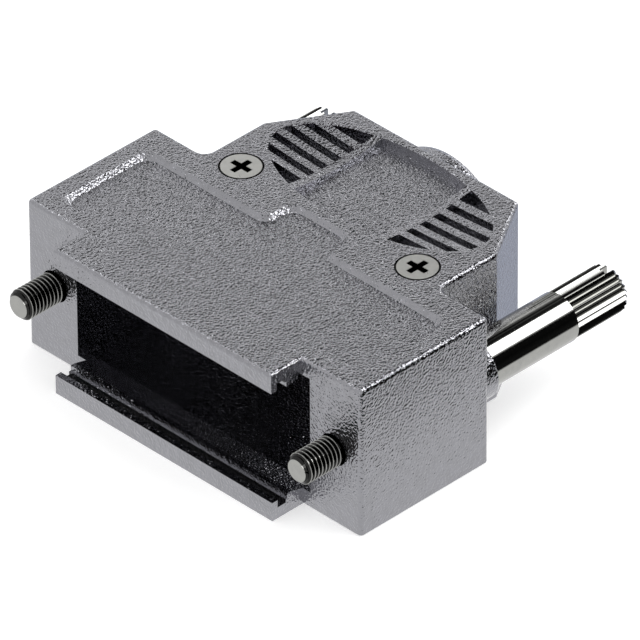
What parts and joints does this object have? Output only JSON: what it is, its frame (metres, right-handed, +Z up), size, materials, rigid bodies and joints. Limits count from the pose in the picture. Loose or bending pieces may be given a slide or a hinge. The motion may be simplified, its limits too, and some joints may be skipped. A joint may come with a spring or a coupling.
{
  "type": "d-sub hood",
  "caption": "Cast metal hood for a D-sub connector: split half shells, flange lips at the front, round cable collar behind, captive knurled jackscrews and a cable clamp.",
  "frame": {"origin": "point of the bottom face on the centre plane, in the plane of the side blocks' front faces", "axes": "+X along the connector's width, +Y from the mating side towards the cable, +Z up from the bottom face"},
  "size_m": [0.0398, 0.0373, 0.0148],
  "materials": {
    "cast_shell": "as-cast metal with a fine grain, satin",
    "plated_screw": "bright nickel plate",
    "satin_steel": "satin plated steel",
    "spring_steel": "phosphated spring steel",
    "clamp_steel": "zinc-plated steel"
  },
  "bodies": {
    "hood": {"lower_shell": "cast_shell", "upper_shell": "cast_shell", "left_shell_screw": "satin_steel", "right_shell_screw": "satin_steel", "clamp_saddle": "clamp_steel", "left_clamp_screw": "clamp_steel", "right_clamp_screw": "clamp_steel"},
    "left_ring": {"left_retaining_ring": "spring_steel"},
    "right_ring": {"right_retaining_ring": "spring_steel"},
    "left_jackscrew": {"left_jackscrew": "plated_screw"},
    "right_jackscrew": {"right_jackscrew": "plated_screw"}
  },
  "joints": [
    {"name": "left_jackscrew_slide", "type": "slide", "parent": "hood", "child": "left_ring", "axis": [0, 1, 0], "range_m": [0, 0.004]},
    {"name": "right_jackscrew_slide", "type": "slide", "parent": "hood", "child": "right_ring", "axis": [0, 1, 0], "range_m": [0, 0.004]},
    {"name": "left_jackscrew_turn", "type": "hinge", "parent": "left_ring", "child": "left_jackscrew", "pos_m": [-0.01666, 0, 0.00743], "axis": [0, 1, 0], "continuous": true},
    {"name": "right_jackscrew_turn", "type": "hinge", "parent": "right_ring", "child": "right_jackscrew", "pos_m": [0.01666, 0, 0.00743], "axis": [0, 1, 0], "continuous": true}
  ]
}
